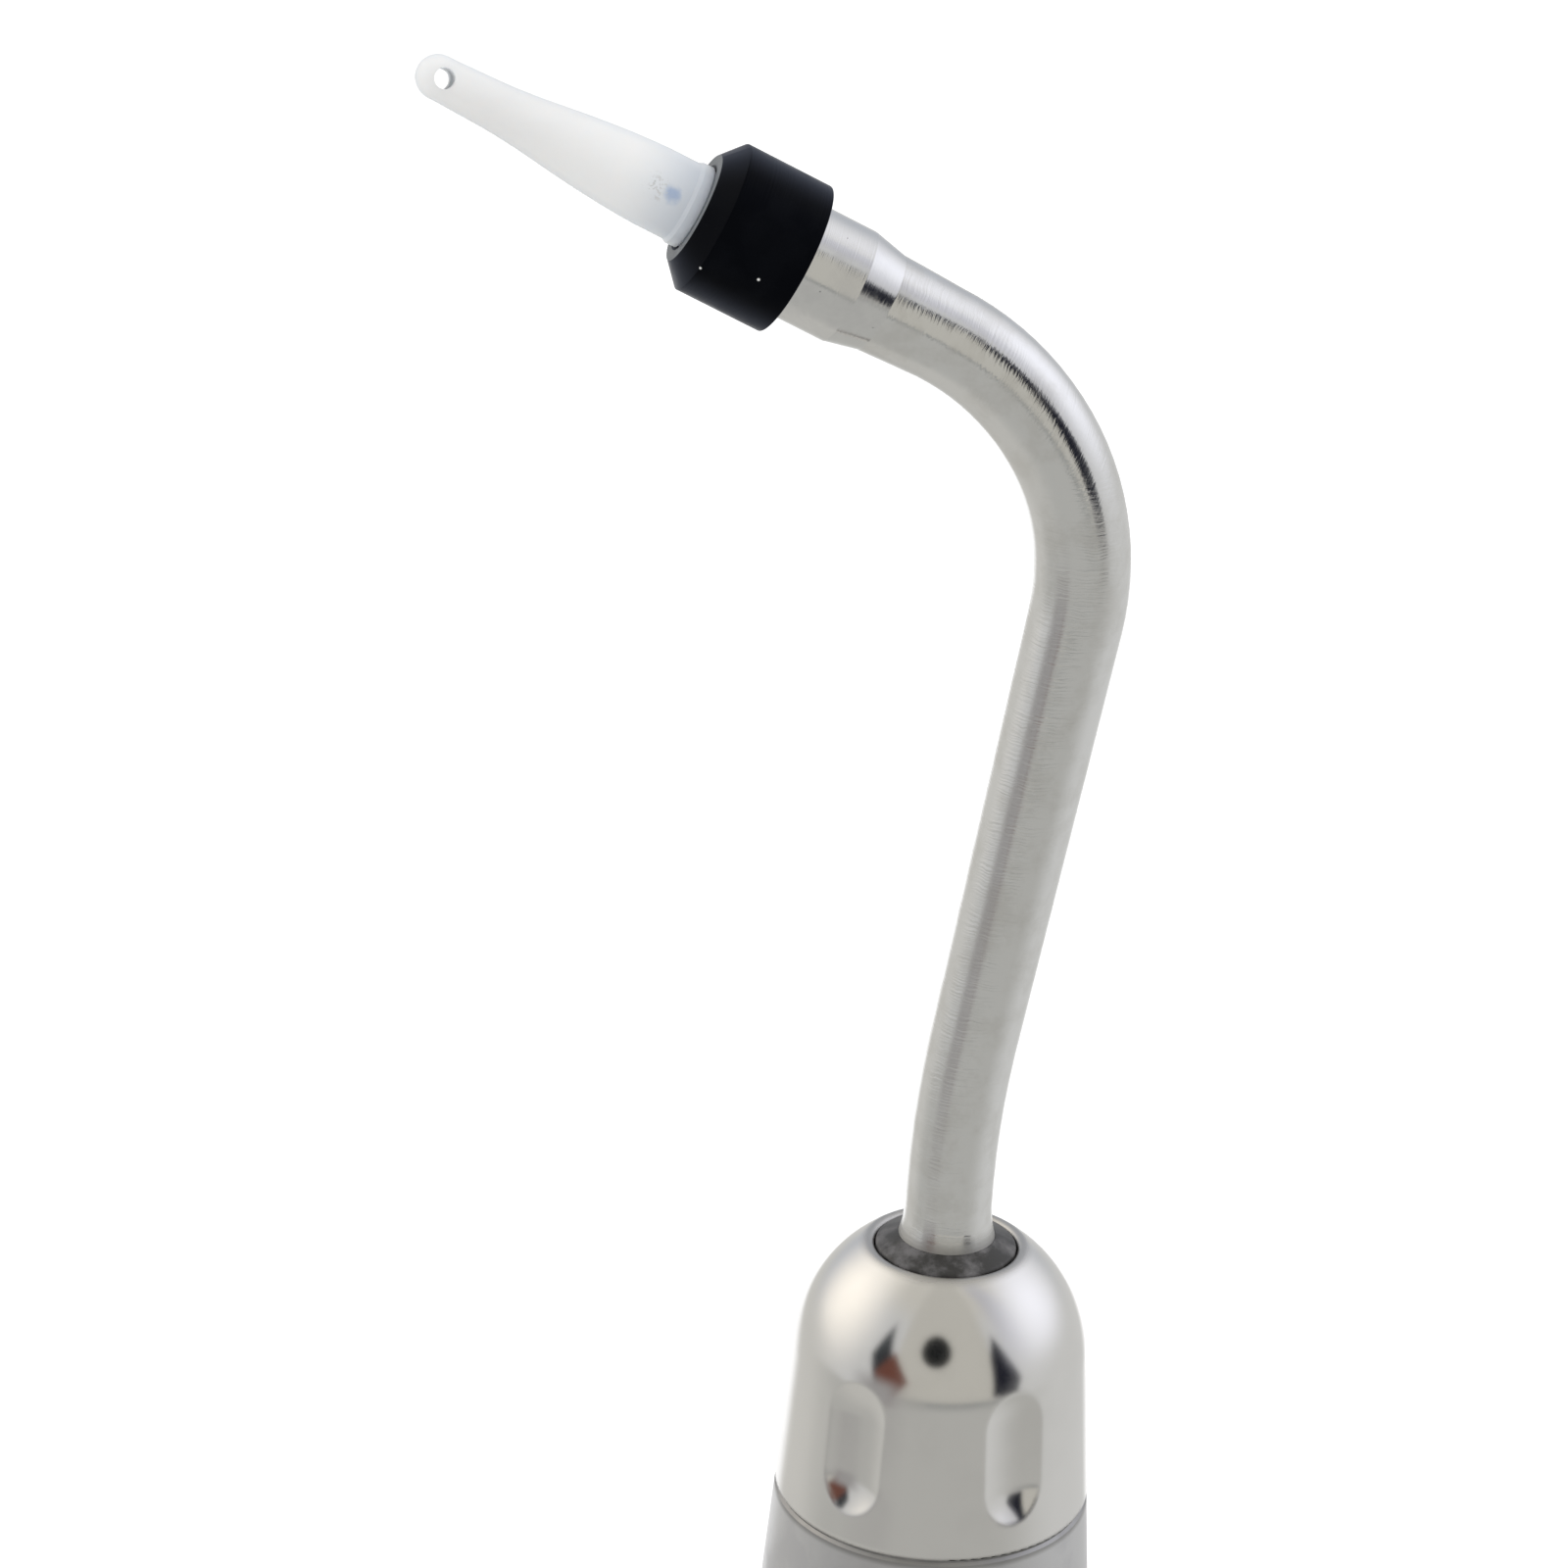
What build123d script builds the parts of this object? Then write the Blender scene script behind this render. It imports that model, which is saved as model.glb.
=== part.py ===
from build123d import *
import math
import os

# Saliva ejector with a bent steel cannula. A translucent nozzle is clamped on the cannula's
# tip by a black nut, and the cannula's foot turns in a short holder under a fluted nose cap.
# Lengths are millimetres and angles are degrees. +Z runs up the holder's axis, the cannula
# bends in the XZ plane, and its nozzle points towards -X. The origin is the centre of the
# shoulder that a suction hose butts against.

# Fits
turn_clearance = 0.06      # radial gap of a metal part that turns or slides in another
thread_clearance = 0.06    # radial gap of a screw thread, drawn as plain cylinders
seal_clearance = 0.02      # radial gap between an O-ring and the bore that it turns in
face_play = 0.02           # gap between flat faces that move against each other
bond_gap = 0.01            # radial gap that a brazed, glued or pressed joint fills
cutter_overlap = 1.0       # how far a cutter reaches past the surface that it cuts

# Suction path
lumen_r = 2.0              # bore of the cannula
lumen_step = 0.2           # each piece downstream is this much wider in radius

# Cannula
foot_r = 2.5               # outer radius inside the ferrule
waist_r = 2.36             # outer radius along the gentle bend
bend_r = 2.50              # outer radius along the main bend
shoulder_r = 2.63          # outer radius where the tube meets the tip socket
flare_r = 2.62             # outer radius at the lower end of the tube's hollow flare
flare_bottom = 0.30        # heights of the flare's two ends above the cap's opening
flare_top = 2.05
gentle_corner = 6.97       # height of the gentle bend's corner above the cap's opening
gentle_angle = 9.2         # bend away from the nozzle's side
gentle_radius = 60.0
shank_length = 39.8        # from the gentle bend's corner to the main bend's corner
main_angle = 72.9          # bend towards the nozzle's side
main_radius = 14.6
reach = 24.7               # from the main bend's corner to the front face of the nut
foot_depth = 8.0           # length of tube brazed into the foot ferrule

# Nozzle and its clamp, measured from the nut's front face
nozzle_length = 15.3
nozzle_base_r = 2.07
nozzle_tip_r = 1.13
nozzle_bead_r = 2.18
nozzle_bead_length = 0.55
nozzle_bead_ramp = 0.2     # length over which the bead falls to the base
nozzle_neck_r = 2.04
nozzle_flange_r = 2.75
nozzle_flange_length = 0.68
nozzle_throat_r = 1.10     # bore just in front of the nipple
nozzle_throat_length = 0.3
nozzle_bore_tip_r = 0.55
nozzle_parallel = 0.15     # shares of the nozzle's length: the parallel base ends here
nozzle_waist = [           # share of the nozzle's length, share of its base radius
    (0.26, 0.96),
    (0.475, 0.795),
    (0.72, 0.596),
]
nozzle_tip_start = 0.84    # and the slim tip starts here
nozzle_tip_swell = 0.035   # how much wider than its end the tip is there
port_r = 0.52              # suction port drilled across the closed tip
port_setback = 1.32        # from the tip's end to the port's axis
port_clocking = 18.0       # turn of the port about the nozzle's axis
nut_r = 4.0
nut_front_r = 2.88
nut_chamfer_length = 1.03
nut_lip_length = 1.03
nut_length = 5.69
nut_countersink = 0.25
nut_corner_fillet = 0.07
gasket_length = 0.30
nipple_r = 1.25
nipple_wall = 0.25
nipple_reach = 1.20        # how far the nipple stands in front of the nut
nipple_spare = 0.2         # how far the nozzle's wide bore runs on past the nipple
nipple_edge = 0.1          # chamfer at the nipple's end
nipple_seat = 2.6          # length of nipple held in the socket

# Tip socket
socket_thread_r = 2.90
collar_r = 3.03
collar_length = 3.0
collar_cone_length = 1.82
tube_spigot_r = 2.40       # the tube's end, reduced to fit inside the socket
tube_spigot_length = 3.6
thread_relief = 0.4
thread_relief_depth = 0.25
socket_edge = 0.2          # chamfer at the thread's start

# Foot of the cannula
ferrule_wall = 1.7
ferrule_length = 9.2       # below the ferrule's flange
ferrule_flange_step = 1.4
ferrule_flange_length = 1.2
ferrule_neck_wall = 0.8
ferrule_neck_length = 2.0
ferrule_edge = 0.4         # chamfer that leads the ferrule into its bush
o_ring_r = 0.5             # section radius of the O-rings
upper_ring_drop = 3.0      # from the ferrule's flange down to the upper O-ring
lower_ring_drop = 6.8

# Seal, bush and washer
opening_r = 3.85           # opening in the top of the nose cap
seal_play = 0.04           # radial gap between the dust seal and the cap
seal_rim_drop = 0.30       # depth of the dust seal's outer edge below the cap's opening
seal_rim_fillet = 0.20
seal_land = 0.06           # how far the seal's flat top stands out past the tube's flare
bush_wall = 0.85
bush_flange_length = 0.6
washer_length = 0.5
washer_play = 0.10

# Chuck
chuck_nose_wall = 0.8
chuck_nose_length = 3.8
chuck_thread_step = 1.0    # the cap's thread stands this far outside the chuck's nose
chuck_thread_length = 6.3
chuck_root_r = 6.4         # thread that screws into the barrel
chuck_root_length = 8.0
chuck_root_edge = 0.5      # chamfers at the starts of the chuck's two threads
chuck_thread_edge = 0.4
drag_ring_height = 1.2     # from the cap's bottom face up to the drag ring
pocket_floor_gap = 0.4

# Nose cap
cap_play = 0.12            # radial gap between the cap and the chuck's nose
cap_wall = 1.02
cap_crown_wall = 0.85
cap_flank_angle = 4.3
cap_lip_fillet = 0.35
cap_rim_fillet = 0.15
flute_count = 5
flute_phase = -65.3
flute_pitch = 74.0         # leaves the front pair, the first and the last, 64 degrees apart
flute_cutter_r = 4.4
flute_depth = 0.55
flute_head_drop = 0.4      # from the dome's centre down to the centre of the flute's upper end
flute_foot = 4.2           # from the cap's bottom face to the centre of the flute's lower end
thread_run_out = 0.3
joint_ring_length = 0.12
joint_ring_inset = 0.15

# Barrel, core tube and tail
barrel_length = 23.48
barrel_flare = 0.45        # growth in radius along the barrel's tapered front
barrel_taper_length = 6.0
barrel_bore_r = 7.12
barrel_edge = 0.5
barrel_front_edge = 0.15
barrel_run_out = 0.4       # free length of bore behind the chuck
groove_count = 5
groove_pitch = 2.4
groove_width = 0.9
groove_depth = 0.35
groove_start = 3.4         # from the barrel's bottom face to the first groove
core_wall = 0.7
core_engagement = 4.5      # length of core tube inside each of its two sockets
core_ring_setback = 1.9    # from a socket's mouth to its O-ring
tail_flange_length = 2.0
tail_flange_inset = 0.35
tail_thread_length = 6.0
small_ring_r = 0.4         # section radius of the cap's and the tail's O-rings
tail_ring_inset = 0.1      # from the barrel's bore to the tail's O-ring groove
spigot_r = 5.5             # fits inside an 11 mm suction hose
spigot_length = 13.0
spigot_wall = 1.4
spigot_throat_length = 0.5 # from the core tube's end to where the bore widens
spigot_chamfer = 0.6

# Radii that follow, from the axis outwards
ferrule_r = foot_r + ferrule_wall
ferrule_flange_r = ferrule_r + ferrule_flange_step
ferrule_neck_r = foot_r + ferrule_neck_wall
ferrule_bore_r = lumen_r + lumen_step / 2
bush_bore_r = ferrule_r + turn_clearance
bush_r = bush_bore_r + bush_wall
chuck_bore_r = bush_r + bond_gap
chuck_nose_r = chuck_bore_r + chuck_nose_wall
chuck_thread_r = chuck_nose_r + chuck_thread_step
chuck_lumen_r = lumen_r + 2 * lumen_step
core_bore_r = lumen_r + 3 * lumen_step
core_r = core_bore_r + core_wall
core_socket_r = core_r + bond_gap
cap_bore_r = chuck_nose_r + cap_play
cap_thread_r = chuck_thread_r + thread_clearance
dome_r = cap_thread_r + cap_wall
seal_r = opening_r - seal_play
nipple_bore_r = nipple_r - nipple_wall
nozzle_seat_r = nipple_r + turn_clearance
nut_lip_r = nozzle_neck_r + turn_clearance
nut_thread_r = socket_thread_r + thread_clearance
nut_pocket_r = nozzle_flange_r + thread_clearance
spigot_bore_r = spigot_r - spigot_wall
tail_thread_r = barrel_bore_r - bond_gap

# Heights that follow, from the hose shoulder upwards
barrel_bottom_z = tail_flange_length
barrel_top_z = barrel_bottom_z + barrel_length
cap_bottom_z = barrel_top_z + joint_ring_length
chuck_thread_top_z = cap_bottom_z + chuck_thread_length
chuck_top_z = chuck_thread_top_z + chuck_nose_length
bush_top_z = chuck_top_z + bush_flange_length
flange_bottom_z = bush_top_z + face_play
flange_top_z = flange_bottom_z + ferrule_flange_length
washer_bottom_z = flange_top_z + face_play
washer_top_z = washer_bottom_z + washer_length
cap_shoulder_z = washer_top_z + face_play
ferrule_bottom_z = flange_bottom_z - ferrule_length
pocket_floor_z = ferrule_bottom_z - pocket_floor_gap
chuck_bottom_z = barrel_top_z - chuck_root_length
core_top_z = chuck_bottom_z + core_engagement
tail_top_z = barrel_bottom_z + tail_thread_length
core_bottom_z = tail_top_z - core_engagement
dome_z = cap_shoulder_z + cap_crown_wall - math.sqrt(dome_r**2 - cap_bore_r**2)
opening_z = dome_z + math.sqrt(dome_r**2 - opening_r**2)

# The cap's straight flank leaves the dome as a tangent
flank_slope = math.tan(math.radians(cap_flank_angle))
flank_top_r = dome_r * math.cos(math.radians(cap_flank_angle))
flank_top_z = dome_z + dome_r * math.sin(math.radians(cap_flank_angle))


def flank_r(z):
    return flank_top_r + (flank_top_z - z) * flank_slope


joint_r = flank_r(cap_bottom_z)
barrel_r = joint_r + barrel_flare
tail_flange_r = barrel_r - tail_flange_inset

# Places along the nozzle's axis, from the nut's front face, positive towards the tip
flange_front_s = -nut_lip_length - face_play
flange_rear_s = flange_front_s - nozzle_flange_length
gasket_front_s = flange_rear_s - face_play
socket_face_s = gasket_front_s - gasket_length
collar_front_s = -nut_length - 3 * face_play
collar_rear_s = collar_front_s - collar_length
socket_rear_s = collar_rear_s - collar_cone_length
tube_end_s = socket_rear_s + tube_spigot_length
nipple_rear_s = socket_face_s - nipple_seat


# A plane square to the cannula at a point of its centreline, leaning towards -X
def cross_plane(point, lean):
    tilt = math.radians(lean)
    return Plane(
        origin=point,
        x_dir=(math.cos(tilt), 0, math.sin(tilt)),
        z_dir=(-math.sin(tilt), 0, math.cos(tilt)),
    )


# The plane that a straight run reaches
def advanced(plane, distance):
    return Plane(origin=plane.origin + plane.z_dir * distance, x_dir=plane.x_dir, z_dir=plane.z_dir)


# The plane at the end of a bend, with the bend's axis; side is 1 for a bend towards -X
def turned_plane(plane, radius, angle, side):
    centre = plane.origin - plane.x_dir * radius * side
    axis = Axis(centre, (0, -side, 0))
    swing = math.radians(angle)
    origin = centre + (plane.x_dir * math.cos(swing) * side + plane.z_dir * math.sin(swing)) * radius
    tilt = math.degrees(math.atan2(-plane.z_dir.X, plane.z_dir.Z)) + side * angle
    return cross_plane(origin, tilt), axis


gentle_tangent = gentle_radius * math.tan(math.radians(gentle_angle / 2))
main_tangent = main_radius * math.tan(math.radians(main_angle / 2))
foot_plane = cross_plane((0, 0, opening_z), 0)
tube_bottom_plane = advanced(foot_plane, -foot_depth)
flare_plane = advanced(foot_plane, flare_bottom)
waist_plane = advanced(foot_plane, flare_top)
gentle_plane = advanced(foot_plane, gentle_corner - gentle_tangent)
shank_plane, gentle_axis = turned_plane(gentle_plane, gentle_radius, gentle_angle, -1)
main_plane = advanced(shank_plane, shank_length - gentle_tangent - main_tangent)
reach_plane, main_axis = turned_plane(main_plane, main_radius, main_angle, 1)
nut_plane = advanced(reach_plane, reach - main_tangent)
socket_rear_plane = advanced(nut_plane, socket_rear_s)
tube_end_plane = advanced(nut_plane, tube_end_s)


# A solid of revolution about Z, from the edges of a closed (radius, height) outline
def revolved(edges):
    return revolve(Plane.XZ * make_face(edges), Axis.Z)


# The same about a plane's normal, from (radius, height) points
def turned(points, plane=Plane.XY):
    return plane.location * revolved(Polyline(*points, close=True))


# A frustum from one plane to another that is coaxial with it
def frustum(start, end, start_r, end_r):
    length = (end.origin - start.origin).length
    if abs(start_r - end_r) < 1e-9:
        return Solid.make_cylinder(start_r, length, start)
    return Solid.make_cone(start_r, end_r, length, start)


# A bend of round section
def elbow(start, axis, angle, section_r):
    return revolve(start * Circle(section_r), axis, angle)


# An O-ring about the row's Z axis
def o_ring(centre_r, z, section_r):
    return Pos(0, 0, z) * Solid.make_torus(centre_r, section_r)


# Edges of a turned solid that lie on a circle of the given radius and height
def circles(solid, radius, z):
    near = [e for e in solid.edges().filter_by(GeomType.CIRCLE) if abs(e.radius - radius) < 0.01]
    return [e for e in near if abs(e.center().Z - z) < 0.01]


# Nozzle: closed round tip, a waist that swells to the base, and a flange under the nut
def nozzle():
    tip_z = nozzle_length - nozzle_tip_r
    base_z = nozzle_bead_length + nozzle_bead_ramp
    waist = Spline(
        (nozzle_base_r, base_z),
        (nozzle_base_r, nozzle_parallel * nozzle_length),
        *[(width * nozzle_base_r, height * nozzle_length) for height, width in nozzle_waist],
        (nozzle_tip_r + nozzle_tip_swell, nozzle_tip_start * nozzle_length),
        (nozzle_tip_r, tip_z),
        tangents=[(0, 1), (0, 1)],
    )
    tip = CenterArc((0, tip_z), nozzle_tip_r, 0, 90)
    rear = Polyline(
        (0, nozzle_length),
        (0, flange_rear_s),
        (nozzle_flange_r, flange_rear_s),
        (nozzle_flange_r, flange_front_s),
        (nozzle_neck_r, flange_front_s),
        (nozzle_neck_r, face_play),
        (nozzle_bead_r, face_play),
        (nozzle_bead_r, nozzle_bead_length),
        (nozzle_base_r, base_z),
    )
    body = revolved([waist, tip, rear])
    seat_end = nipple_reach + nipple_spare
    port_z = nozzle_length - port_setback
    bore = turned([
        (0, flange_rear_s),
        (nozzle_seat_r, flange_rear_s),
        (nozzle_seat_r, seat_end),
        (nozzle_throat_r, seat_end + nozzle_throat_length),
        (nozzle_bore_tip_r, port_z - port_r),
        (nozzle_bore_tip_r, port_z),
        (0, port_z + nozzle_bore_tip_r),
    ])
    port = Cylinder(port_r, 2 * nozzle_base_r, rotation=(90, 0, 0))
    port = Rot(0, 0, port_clocking) * Pos(0, 0, port_z) * port
    return nut_plane.location * (body - bore - port)


# Clamp nut: a chamfered ring whose lip traps the nozzle's flange
def clamp_nut():
    body = turned([
        (nut_lip_r, -nut_lip_length),
        (nut_lip_r, -nut_countersink),
        (nut_lip_r + nut_countersink, 0),
        (nut_front_r, 0),
        (nut_r, -nut_chamfer_length),
        (nut_r, -nut_length),
        (nut_thread_r + nut_countersink, -nut_length),
        (nut_thread_r, -nut_length + nut_countersink),
        (nut_thread_r, socket_face_s),
        (nut_pocket_r, socket_face_s),
        (nut_pocket_r, -nut_lip_length),
    ])
    corners = circles(body, nut_r, -nut_chamfer_length)
    corners += circles(body, nut_r, -nut_length)
    corners += circles(body, nut_front_r, 0)
    return nut_plane.location * fillet(corners, nut_corner_fillet)


# Soft washer between the nozzle's flange and the socket's face
def nozzle_gasket():
    return turned([
        (nozzle_seat_r, socket_face_s),
        (nozzle_flange_r, socket_face_s),
        (nozzle_flange_r, gasket_front_s),
        (nozzle_seat_r, gasket_front_s),
    ], nut_plane)


# Nipple that carries the suction into the nozzle and holds the nozzle straight
def tip_nipple():
    return turned([
        (nipple_bore_r, nipple_rear_s),
        (nipple_r, nipple_rear_s),
        (nipple_r, nipple_reach - nipple_edge),
        (nipple_r - nipple_edge, nipple_reach),
        (nipple_bore_r, nipple_reach),
    ], nut_plane)


# Tip socket: threaded nose, plain collar and a cone that runs down to the tube
def tip_socket():
    nipple_bore = nipple_r + bond_gap
    return turned([
        (nipple_bore, socket_face_s),
        (socket_thread_r - socket_edge, socket_face_s),
        (socket_thread_r, socket_face_s - socket_edge),
        (socket_thread_r, collar_front_s + thread_relief),
        (socket_thread_r - thread_relief_depth, collar_front_s + thread_relief),
        (socket_thread_r - thread_relief_depth, collar_front_s),
        (collar_r, collar_front_s),
        (collar_r, collar_rear_s),
        (shoulder_r, socket_rear_s),
        (tube_spigot_r + bond_gap, socket_rear_s),
        (tube_spigot_r + bond_gap, tube_end_s),
        (lumen_r, tube_end_s),
        (nipple_bore_r, nipple_rear_s),
        (nipple_bore, nipple_rear_s),
    ], nut_plane)


# Flare above the seal: its hollow curve runs out into the waist as a tangent
def foot_flare():
    spread = flare_r - waist_r
    height = flare_top - flare_bottom
    hollow_r = (height**2 + spread**2) / (2 * spread)
    swing = math.degrees(math.asin(height / hollow_r))
    hollow = CenterArc((waist_r + hollow_r, flare_top), hollow_r, 180, swing)
    rest = Polyline((flare_r, flare_bottom), (0, flare_bottom), (0, flare_top), (waist_r, flare_top))
    return foot_plane.location * revolved([hollow, rest])


# Cannula: foot, flare, gentle bend, tapered shank, main bend and a reduced end for the socket
def cannula_tube():
    outer = [
        frustum(tube_bottom_plane, flare_plane, foot_r, foot_r),
        foot_flare(),
        frustum(waist_plane, gentle_plane, waist_r, waist_r),
        elbow(gentle_plane, gentle_axis, gentle_angle, waist_r),
        frustum(shank_plane, main_plane, waist_r, bend_r),
        elbow(main_plane, main_axis, main_angle, bend_r),
        frustum(reach_plane, socket_rear_plane, bend_r, shoulder_r),
        frustum(socket_rear_plane, tube_end_plane, tube_spigot_r, tube_spigot_r),
    ]
    inner = [
        frustum(tube_bottom_plane, gentle_plane, lumen_r, lumen_r),
        elbow(gentle_plane, gentle_axis, gentle_angle, lumen_r),
        frustum(shank_plane, main_plane, lumen_r, lumen_r),
        elbow(main_plane, main_axis, main_angle, lumen_r),
        frustum(reach_plane, tube_end_plane, lumen_r, lumen_r),
    ]
    tube = outer[0].fuse(*outer[1:])
    return tube.cut(*inner)


# Foot ferrule: flanged sleeve brazed on the tube, with two O-ring grooves
def foot_ferrule():
    tube_bottom_z = opening_z - foot_depth
    neck_top_z = flange_top_z + ferrule_neck_length
    groove_r = bush_bore_r - seal_clearance - 2 * o_ring_r
    body = turned([
        (ferrule_bore_r, ferrule_bottom_z),
        (ferrule_r - ferrule_edge, ferrule_bottom_z),
        (ferrule_r, ferrule_bottom_z + ferrule_edge),
        (ferrule_r, flange_bottom_z),
        (ferrule_flange_r, flange_bottom_z),
        (ferrule_flange_r, flange_top_z),
        (ferrule_neck_r, flange_top_z),
        (ferrule_neck_r, neck_top_z),
        (foot_r + bond_gap, neck_top_z),
        (foot_r + bond_gap, tube_bottom_z),
        (ferrule_bore_r, tube_bottom_z),
    ])
    for drop in (upper_ring_drop, lower_ring_drop):
        z = flange_bottom_z - drop
        body -= turned([
            (groove_r, z - o_ring_r),
            (ferrule_r + cutter_overlap, z - o_ring_r),
            (ferrule_r + cutter_overlap, z + o_ring_r),
            (groove_r, z + o_ring_r),
        ])
    return body


# O-ring in one of the ferrule's grooves
def foot_o_ring(drop):
    outer_r = bush_bore_r - seal_clearance
    return o_ring(outer_r - o_ring_r, flange_bottom_z - drop, o_ring_r)


# Dust seal: a rubber boot over the ferrule's neck that fills the cap's opening
def dust_seal():
    neck_top_z = flange_top_z + ferrule_neck_length
    rim_z = opening_z - seal_rim_drop
    crown_z = opening_z + flare_bottom
    body = turned([
        (ferrule_neck_r, flange_top_z),
        (seal_r, flange_top_z),
        (seal_r, rim_z),
        (flare_r + seal_land, crown_z),
        (foot_r + bond_gap, crown_z),
        (foot_r + bond_gap, neck_top_z),
        (ferrule_neck_r, neck_top_z),
    ])
    return fillet(circles(body, seal_r, rim_z), seal_rim_fillet)


# Thrust washer between the ferrule's flange and the cap's shoulder
def thrust_washer():
    return turned([
        (opening_r, washer_bottom_z),
        (cap_bore_r - washer_play, washer_bottom_z),
        (cap_bore_r - washer_play, washer_top_z),
        (opening_r, washer_top_z),
    ])


# One flute: a round-ended groove cut along the cap's flank
def flute_cutter():
    low_z = cap_bottom_z + flute_foot
    high_z = dome_z - flute_head_drop
    centre_r = flute_cutter_r - flute_depth
    low = Vector(flank_r(low_z) + centre_r, 0, low_z)
    high = Vector(flank_r(high_z) + centre_r, 0, high_z)
    run = Plane(origin=low, x_dir=(0, 1, 0), z_dir=high - low)
    groove = Solid.make_cylinder(flute_cutter_r, (high - low).length, run)
    ends = [Location(p) * Solid.make_sphere(flute_cutter_r, angle1=-90, angle2=90) for p in (low, high)]
    return groove.fuse(*ends)


# Nose cap: domed and fluted outside; threaded skirt, shoulder and opening inside
def nose_cap():
    thread_top_z = chuck_thread_top_z + thread_run_out
    opening_angle = math.degrees(math.atan2(opening_z - dome_z, opening_r))
    dome = CenterArc((0, dome_z), dome_r, cap_flank_angle, opening_angle - cap_flank_angle)
    inside = Polyline(
        (flank_top_r, flank_top_z),
        (joint_r, cap_bottom_z),
        (cap_thread_r, cap_bottom_z),
        (cap_thread_r, thread_top_z),
        (cap_bore_r, thread_top_z + cap_thread_r - cap_bore_r),
        (cap_bore_r, cap_shoulder_z),
        (opening_r, cap_shoulder_z),
        (opening_r, opening_z),
    )
    body = revolved([dome, inside])
    body = fillet(circles(body, joint_r, cap_bottom_z), cap_rim_fillet)
    body = fillet(circles(body, opening_r, opening_z), cap_lip_fillet)
    for index in range(flute_count):
        body -= Rot(0, 0, flute_phase + index * flute_pitch) * flute_cutter()
    return body


# Bearing bush that the ferrule turns in
def bearing_bush():
    return turned([
        (bush_bore_r, ferrule_bottom_z),
        (bush_r, ferrule_bottom_z),
        (bush_r, chuck_top_z),
        (chuck_nose_r, chuck_top_z),
        (chuck_nose_r, bush_top_z),
        (bush_bore_r, bush_top_z),
    ])


# Chuck body: holds the bush, carries the cap's thread and screws into the barrel
def chuck_body():
    ring_z = cap_bottom_z + drag_ring_height
    ring_groove_r = cap_thread_r - seal_clearance - 2 * small_ring_r
    core_ring_z = chuck_bottom_z + core_ring_setback
    body = turned([
        (core_socket_r, chuck_bottom_z),
        (chuck_root_r - chuck_root_edge, chuck_bottom_z),
        (chuck_root_r, chuck_bottom_z + chuck_root_edge),
        (chuck_root_r, barrel_top_z),
        (chuck_thread_r, barrel_top_z),
        (chuck_thread_r, chuck_thread_top_z - chuck_thread_edge),
        (chuck_thread_r - chuck_thread_edge, chuck_thread_top_z),
        (chuck_nose_r, chuck_thread_top_z),
        (chuck_nose_r, chuck_top_z),
        (chuck_bore_r, chuck_top_z),
        (chuck_bore_r, pocket_floor_z),
        (chuck_lumen_r, pocket_floor_z),
        (chuck_lumen_r, core_top_z),
        (core_socket_r, core_top_z),
    ])
    body -= turned([
        (ring_groove_r, ring_z - small_ring_r),
        (chuck_thread_r + cutter_overlap, ring_z - small_ring_r),
        (chuck_thread_r + cutter_overlap, ring_z + small_ring_r),
        (ring_groove_r, ring_z + small_ring_r),
    ])
    return body - core_ring_groove(core_ring_z)


# Groove for a core tube's O-ring in the wall of its socket
def core_ring_groove(z):
    return turned([
        (core_r - cutter_overlap, z - o_ring_r),
        (core_r + 2 * o_ring_r, z - o_ring_r),
        (core_r + 2 * o_ring_r, z + o_ring_r),
        (core_r - cutter_overlap, z + o_ring_r),
    ])


# O-ring on the chuck that gives the cap's thread some drag
def cap_drag_ring():
    centre_r = cap_thread_r - seal_clearance - small_ring_r
    return o_ring(centre_r, cap_bottom_z + drag_ring_height, small_ring_r)


# Black washer in the joint between the cap and the barrel
def joint_ring():
    return turned([
        (chuck_thread_r + bond_gap, barrel_top_z),
        (joint_r - joint_ring_inset, barrel_top_z),
        (joint_r - joint_ring_inset, cap_bottom_z - face_play),
        (chuck_thread_r + bond_gap, cap_bottom_z - face_play),
    ])


# Barrel: tapered front, grip grooves, and a bore that is threaded at both ends
def barrel():
    shoulder_z = chuck_bottom_z - barrel_run_out
    body = turned([
        (barrel_bore_r, barrel_bottom_z),
        (barrel_r - barrel_edge, barrel_bottom_z),
        (barrel_r, barrel_bottom_z + barrel_edge),
        (barrel_r, barrel_top_z - barrel_taper_length),
        (joint_r, barrel_top_z - barrel_front_edge),
        (joint_r - barrel_front_edge, barrel_top_z),
        (chuck_root_r + bond_gap, barrel_top_z),
        (chuck_root_r + bond_gap, shoulder_z),
        (barrel_bore_r, shoulder_z - barrel_bore_r + chuck_root_r),
    ])
    for index in range(groove_count):
        z = barrel_bottom_z + groove_start + index * groove_pitch
        body -= turned([
            (barrel_r - groove_depth, z - groove_width / 2 + groove_depth / 2),
            (barrel_r + groove_depth, z - groove_width / 2 - groove_depth / 2),
            (barrel_r + groove_depth, z + groove_width / 2 + groove_depth / 2),
            (barrel_r - groove_depth, z + groove_width / 2 - groove_depth / 2),
        ])
    return body


# Core tube that carries the suction through the barrel
def core_tube():
    return turned([
        (core_bore_r, core_bottom_z),
        (core_r, core_bottom_z),
        (core_r, core_top_z),
        (core_bore_r, core_top_z),
    ])


# O-ring round one end of the core tube
def core_o_ring(z):
    return o_ring(core_r + o_ring_r, z, o_ring_r)


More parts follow.
